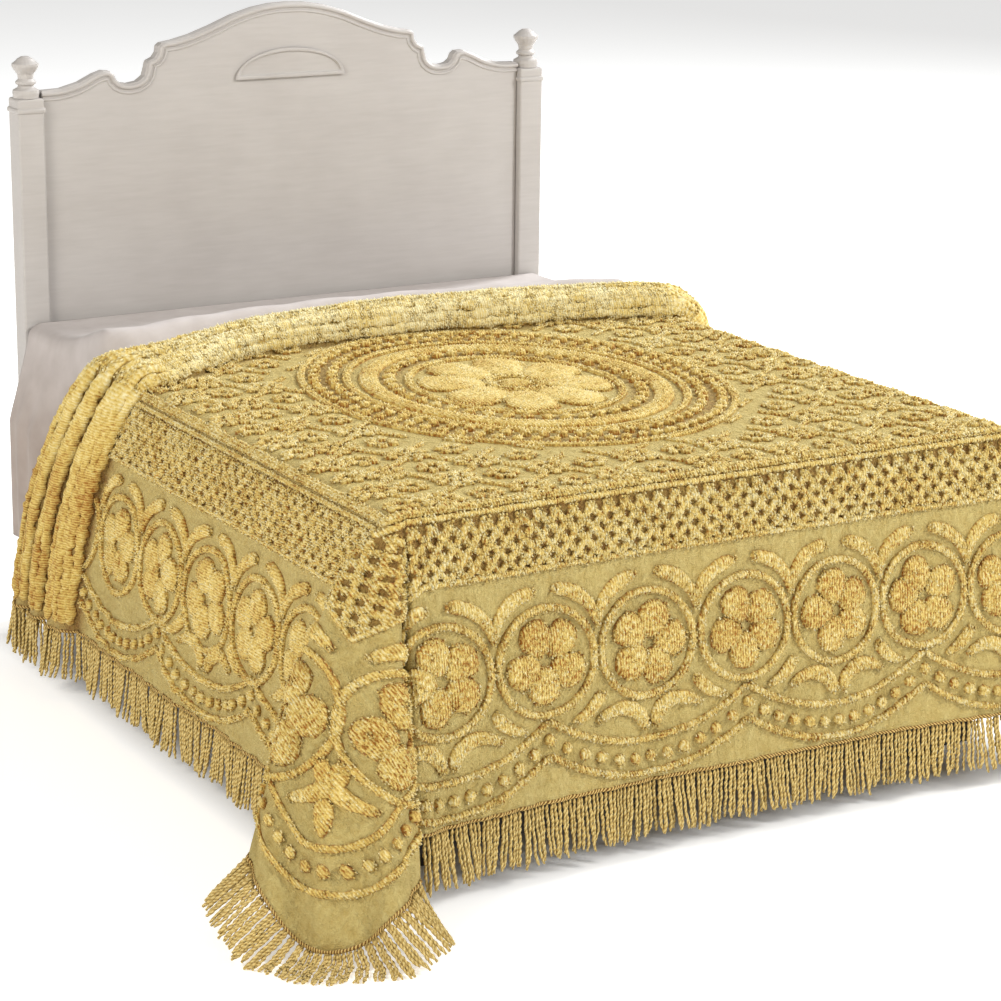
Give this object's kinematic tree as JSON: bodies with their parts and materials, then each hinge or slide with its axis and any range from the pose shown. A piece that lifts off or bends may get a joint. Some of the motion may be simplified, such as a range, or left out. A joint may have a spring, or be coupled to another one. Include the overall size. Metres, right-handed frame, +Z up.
{
  "type": "chenille bedspread on a bed",
  "caption": "Tufted chenille bedspread with a corded fringe, draped to the floor at its foot corners over a plain bed with an arched headboard.",
  "frame": {"origin": "centre of the bounding box, at floor level", "axes": "+Z up; +Y from the foot of the bed toward the headboard; +X to the right seen from the foot"},
  "size_m": [2.4661, 2.4854, 1.581],
  "materials": {
    "chenille": "tufted cotton pile on a plain woven ground",
    "cord": "twisted cotton strands",
    "linen": "plain woven cotton",
    "white_paint": "satin off-white paint over wood",
    "ticking": "woven mattress cover",
    "dark_cloth": "dark lining cloth"
  },
  "bodies": {
    "root": {"bedspread": "chenille", "fringe": "cord", "sheet": "linen", "mattress": "ticking", "bed_base": "dark_cloth", "headboard": "white_paint", "arch_panel": "white_paint", "post_left": "white_paint", "post_right": "white_paint", "finial_left": "white_paint", "finial_right": "white_paint", "foot_1": "dark_cloth", "foot_2": "dark_cloth", "foot_3": "dark_cloth", "foot_4": "dark_cloth", "foot_5": "dark_cloth", "foot_6": "dark_cloth"}
  },
  "joints": []
}
